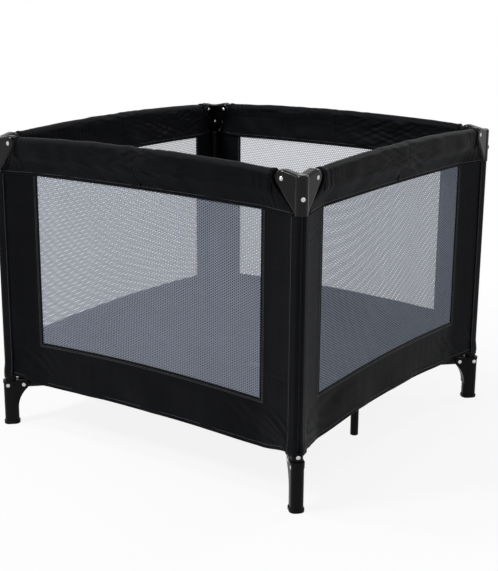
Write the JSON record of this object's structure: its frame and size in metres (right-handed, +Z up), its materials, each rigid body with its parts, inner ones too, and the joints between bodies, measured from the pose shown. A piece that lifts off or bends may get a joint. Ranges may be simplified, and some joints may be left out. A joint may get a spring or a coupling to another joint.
{
  "type": "folding playpen",
  "caption": "Square folding playpen with mesh sides, padded top rails that break in the middle, a lifting hub under the floor, four feet and two middle legs.",
  "frame": {"origin": "on the ground, in the middle of the square of posts", "axes": "+Z up; -Y is the front side; +X is the right side"},
  "size_m": [0.943, 0.943, 0.77],
  "materials": {
    "cloth": "matt black woven polyester",
    "floor_cloth": "black quilted polyester",
    "mesh": "pale blue-grey open net",
    "webbing": "black ribbed webbing",
    "steel_tube": "gloss black powder coat",
    "cap_plastic": "gloss black",
    "foot_plastic": "satin black",
    "frame_plastic": "matt black",
    "rivet_steel": "zinc plated"
  },
  "bodies": {
    "post_front_left": {"post_tube_front_left": "steel_tube", "corner_cap_front_left": "cap_plastic", "foot_front_left": "foot_plastic", "corner_rivets_front_left": "rivet_steel", "wall_cloth_front": "cloth", "mesh_panel_front": "mesh"},
    "post_front_right": {"post_tube_front_right": "steel_tube", "corner_cap_front_right": "cap_plastic", "foot_front_right": "foot_plastic", "corner_rivets_front_right": "rivet_steel", "wall_cloth_right": "cloth", "mesh_panel_right": "mesh"},
    "post_rear_right": {"post_tube_rear_right": "steel_tube", "corner_cap_rear_right": "cap_plastic", "foot_rear_right": "foot_plastic", "corner_rivets_rear_right": "rivet_steel", "wall_cloth_rear": "cloth", "mesh_panel_rear": "mesh"},
    "post_rear_left": {"post_tube_rear_left": "steel_tube", "corner_cap_rear_left": "cap_plastic", "foot_rear_left": "foot_plastic", "corner_rivets_rear_left": "rivet_steel", "wall_cloth_left": "cloth", "mesh_panel_left": "mesh"},
    "base_front_left": {"base_tube_front_left": "steel_tube"},
    "base_front_right": {"base_tube_front_right": "steel_tube"},
    "base_rear_right": {"base_tube_rear_right": "steel_tube"},
    "base_rear_left": {"base_tube_rear_left": "steel_tube"},
    "hub": {"hub_body": "frame_plastic", "hub_rivets": "rivet_steel", "floor_pad": "floor_cloth", "pull_strap": "webbing"},
    "middle_leg_right": {"support_arm_right": "steel_tube", "support_leg_right": "foot_plastic"},
    "middle_leg_left": {"support_arm_left": "steel_tube", "support_leg_left": "foot_plastic"},
    "rail_l_front": {"rail_tube_l_front": "steel_tube", "rail_cover_l_front": "cloth"},
    "rail_r_front": {"rail_tube_r_front": "steel_tube", "rail_cover_r_front": "cloth"},
    "latch_front": {"latch_housing_front": "frame_plastic"},
    "button_front": {"latch_button_front": "frame_plastic"},
    "rail_l_right": {"rail_tube_l_right": "steel_tube", "rail_cover_l_right": "cloth"},
    "rail_r_right": {"rail_tube_r_right": "steel_tube", "rail_cover_r_right": "cloth"},
    "latch_right": {"latch_housing_right": "frame_plastic"},
    "button_right": {"latch_button_right": "frame_plastic"},
    "rail_l_rear": {"rail_tube_l_rear": "steel_tube", "rail_cover_l_rear": "cloth"},
    "rail_r_rear": {"rail_tube_r_rear": "steel_tube", "rail_cover_r_rear": "cloth"},
    "latch_rear": {"latch_housing_rear": "frame_plastic"},
    "button_rear": {"latch_button_rear": "frame_plastic"},
    "rail_l_left": {"rail_tube_l_left": "steel_tube", "rail_cover_l_left": "cloth"},
    "rail_r_left": {"rail_tube_r_left": "steel_tube", "rail_cover_r_left": "cloth"},
    "latch_left": {"latch_housing_left": "frame_plastic"},
    "button_left": {"latch_button_left": "frame_plastic"}
  },
  "joints": [
    {"name": "base_fold", "type": "hinge", "parent": "post_rear_left", "child": "base_rear_left", "pos_m": [-0.42596, 0.42596, 0.108], "axis": [-0.7071, -0.7071, 0], "range_deg": [0, 85], "deforming": ["wall_cloth_front", "wall_cloth_right", "wall_cloth_rear", "wall_cloth_left", "mesh_panel_front", "mesh_panel_right", "mesh_panel_rear", "mesh_panel_left", "rail_cover_l_front", "rail_cover_l_right", "rail_cover_l_rear", "rail_cover_l_left", "rail_cover_r_front", "rail_cover_r_right", "rail_cover_r_rear", "rail_cover_r_left", "floor_pad", "pull_strap"]},
    {"name": "hub_level", "type": "hinge", "parent": "base_rear_left", "child": "hub", "pos_m": [-0.04196, 0.04196, 0.108], "axis": [-0.7071, -0.7071, 0], "range_deg": [-87, 0]},
    {"name": "base_at_hub_front_left", "type": "hinge", "parent": "hub", "child": "base_front_left", "pos_m": [-0.04196, -0.04196, 0.108], "axis": [0.7071, -0.7071, 0], "range_deg": [0, 87]},
    {"name": "post_upright_front_left", "type": "hinge", "parent": "base_front_left", "child": "post_front_left", "pos_m": [-0.42596, -0.42596, 0.108], "axis": [0.7071, -0.7071, 0], "range_deg": [-87, 0]},
    {"name": "base_at_hub_front_right", "type": "hinge", "parent": "hub", "child": "base_front_right", "pos_m": [0.04196, -0.04196, 0.108], "axis": [0.7071, 0.7071, 0], "range_deg": [0, 87]},
    {"name": "post_upright_front_right", "type": "hinge", "parent": "base_front_right", "child": "post_front_right", "pos_m": [0.42596, -0.42596, 0.108], "axis": [0.7071, 0.7071, 0], "range_deg": [-87, 0]},
    {"name": "base_at_hub_rear_right", "type": "hinge", "parent": "hub", "child": "base_rear_right", "pos_m": [0.04196, 0.04196, 0.108], "axis": [-0.7071, 0.7071, 0], "range_deg": [0, 87]},
    {"name": "post_upright_rear_right", "type": "hinge", "parent": "base_rear_right", "child": "post_rear_right", "pos_m": [0.42596, 0.42596, 0.108], "axis": [-0.7071, 0.7071, 0], "range_deg": [-87, 0]},
    {"name": "middle_leg_right", "type": "hinge", "parent": "hub", "child": "middle_leg_right", "pos_m": [0.036, 0.0116, 0.108], "axis": [0, 1, 0], "range_deg": [0, 92]},
    {"name": "middle_leg_left", "type": "hinge", "parent": "hub", "child": "middle_leg_left", "pos_m": [-0.036, -0.0116, 0.108], "axis": [0, -1, 0], "range_deg": [0, 92]},
    {"name": "rail_l_drop_front", "type": "hinge", "parent": "post_front_left", "child": "rail_l_front", "pos_m": [-0.406, -0.45, 0.751], "axis": [0, 1, 0], "range_deg": [0, 87]},
    {"name": "rail_r_drop_front", "type": "hinge", "parent": "post_front_right", "child": "rail_r_front", "pos_m": [0.406, -0.45, 0.751], "axis": [0, -1, 0], "range_deg": [0, 87]},
    {"name": "latch_level_front", "type": "hinge", "parent": "rail_l_front", "child": "latch_front", "pos_m": [-0.022, -0.45, 0.751], "axis": [0, 1, 0], "range_deg": [-87, 0]},
    {"name": "button_press_front", "type": "slide", "parent": "latch_front", "child": "button_front", "axis": [0, 0, 1], "range_m": [0, 0.004], "stiffness_N_per_m": 600, "springref_m": -0.004},
    {"name": "rail_l_drop_right", "type": "hinge", "parent": "post_front_right", "child": "rail_l_right", "pos_m": [0.45, -0.406, 0.751], "axis": [-1, 0, 0], "range_deg": [0, 87]},
    {"name": "rail_r_drop_right", "type": "hinge", "parent": "post_rear_right", "child": "rail_r_right", "pos_m": [0.45, 0.406, 0.751], "axis": [1, 0, 0], "range_deg": [0, 87]},
    {"name": "latch_level_right", "type": "hinge", "parent": "rail_l_right", "child": "latch_right", "pos_m": [0.45, -0.022, 0.751], "axis": [-1, 0, 0], "range_deg": [-87, 0]},
    {"name": "button_press_right", "type": "slide", "parent": "latch_right", "child": "button_right", "axis": [0, 0, 1], "range_m": [0, 0.004], "stiffness_N_per_m": 600, "springref_m": -0.004},
    {"name": "rail_l_drop_rear", "type": "hinge", "parent": "post_rear_right", "child": "rail_l_rear", "pos_m": [0.406, 0.45, 0.751], "axis": [0, -1, 0], "range_deg": [0, 87]},
    {"name": "rail_r_drop_rear", "type": "hinge", "parent": "post_rear_left", "child": "rail_r_rear", "pos_m": [-0.406, 0.45, 0.751], "axis": [0, 1, 0], "range_deg": [0, 87]},
    {"name": "latch_level_rear", "type": "hinge", "parent": "rail_l_rear", "child": "latch_rear", "pos_m": [0.022, 0.45, 0.751], "axis": [0, -1, 0], "range_deg": [-87, 0]},
    {"name": "button_press_rear", "type": "slide", "parent": "latch_rear", "child": "button_rear", "axis": [0, 0, 1], "range_m": [0, 0.004], "stiffness_N_per_m": 600, "springref_m": -0.004},
    {"name": "rail_l_drop_left", "type": "hinge", "parent": "post_rear_left", "child": "rail_l_left", "pos_m": [-0.45, 0.406, 0.751], "axis": [1, 0, 0], "range_deg": [0, 87]},
    {"name": "rail_r_drop_left", "type": "hinge", "parent": "post_front_left", "child": "rail_r_left", "pos_m": [-0.45, -0.406, 0.751], "axis": [-1, 0, 0], "range_deg": [0, 87]},
    {"name": "latch_level_left", "type": "hinge", "parent": "rail_l_left", "child": "latch_left", "pos_m": [-0.45, 0.022, 0.751], "axis": [1, 0, 0], "range_deg": [-87, 0]},
    {"name": "button_press_left", "type": "slide", "parent": "latch_left", "child": "button_left", "axis": [0, 0, 1], "range_m": [0, 0.004], "stiffness_N_per_m": 600, "springref_m": -0.004}
  ],
  "couplings": [
    {"joint": "hub_level", "follows": "base_fold", "ratio": -1},
    {"joint": "base_at_hub_front_left", "follows": "base_fold", "ratio": 1},
    {"joint": "post_upright_front_left", "follows": "base_fold", "ratio": -1},
    {"joint": "base_at_hub_front_right", "follows": "base_fold", "ratio": 1},
    {"joint": "post_upright_front_right", "follows": "base_fold", "ratio": -1},
    {"joint": "base_at_hub_rear_right", "follows": "base_fold", "ratio": 1},
    {"joint": "post_upright_rear_right", "follows": "base_fold", "ratio": -1},
    {"joint": "middle_leg_right", "follows": "base_fold", "ratio": 1.0588},
    {"joint": "middle_leg_left", "follows": "base_fold", "ratio": 1.0588},
    {"joint": "rail_l_drop_front", "follows": "base_fold", "ratio": 1},
    {"joint": "rail_r_drop_front", "follows": "base_fold", "ratio": 1},
    {"joint": "latch_level_front", "follows": "base_fold", "ratio": -1},
    {"joint": "rail_l_drop_right", "follows": "base_fold", "ratio": 1},
    {"joint": "rail_r_drop_right", "follows": "base_fold", "ratio": 1},
    {"joint": "latch_level_right", "follows": "base_fold", "ratio": -1},
    {"joint": "rail_l_drop_rear", "follows": "base_fold", "ratio": 1},
    {"joint": "rail_r_drop_rear", "follows": "base_fold", "ratio": 1},
    {"joint": "latch_level_rear", "follows": "base_fold", "ratio": -1},
    {"joint": "rail_l_drop_left", "follows": "base_fold", "ratio": 1},
    {"joint": "rail_r_drop_left", "follows": "base_fold", "ratio": 1},
    {"joint": "latch_level_left", "follows": "base_fold", "ratio": -1}
  ]
}
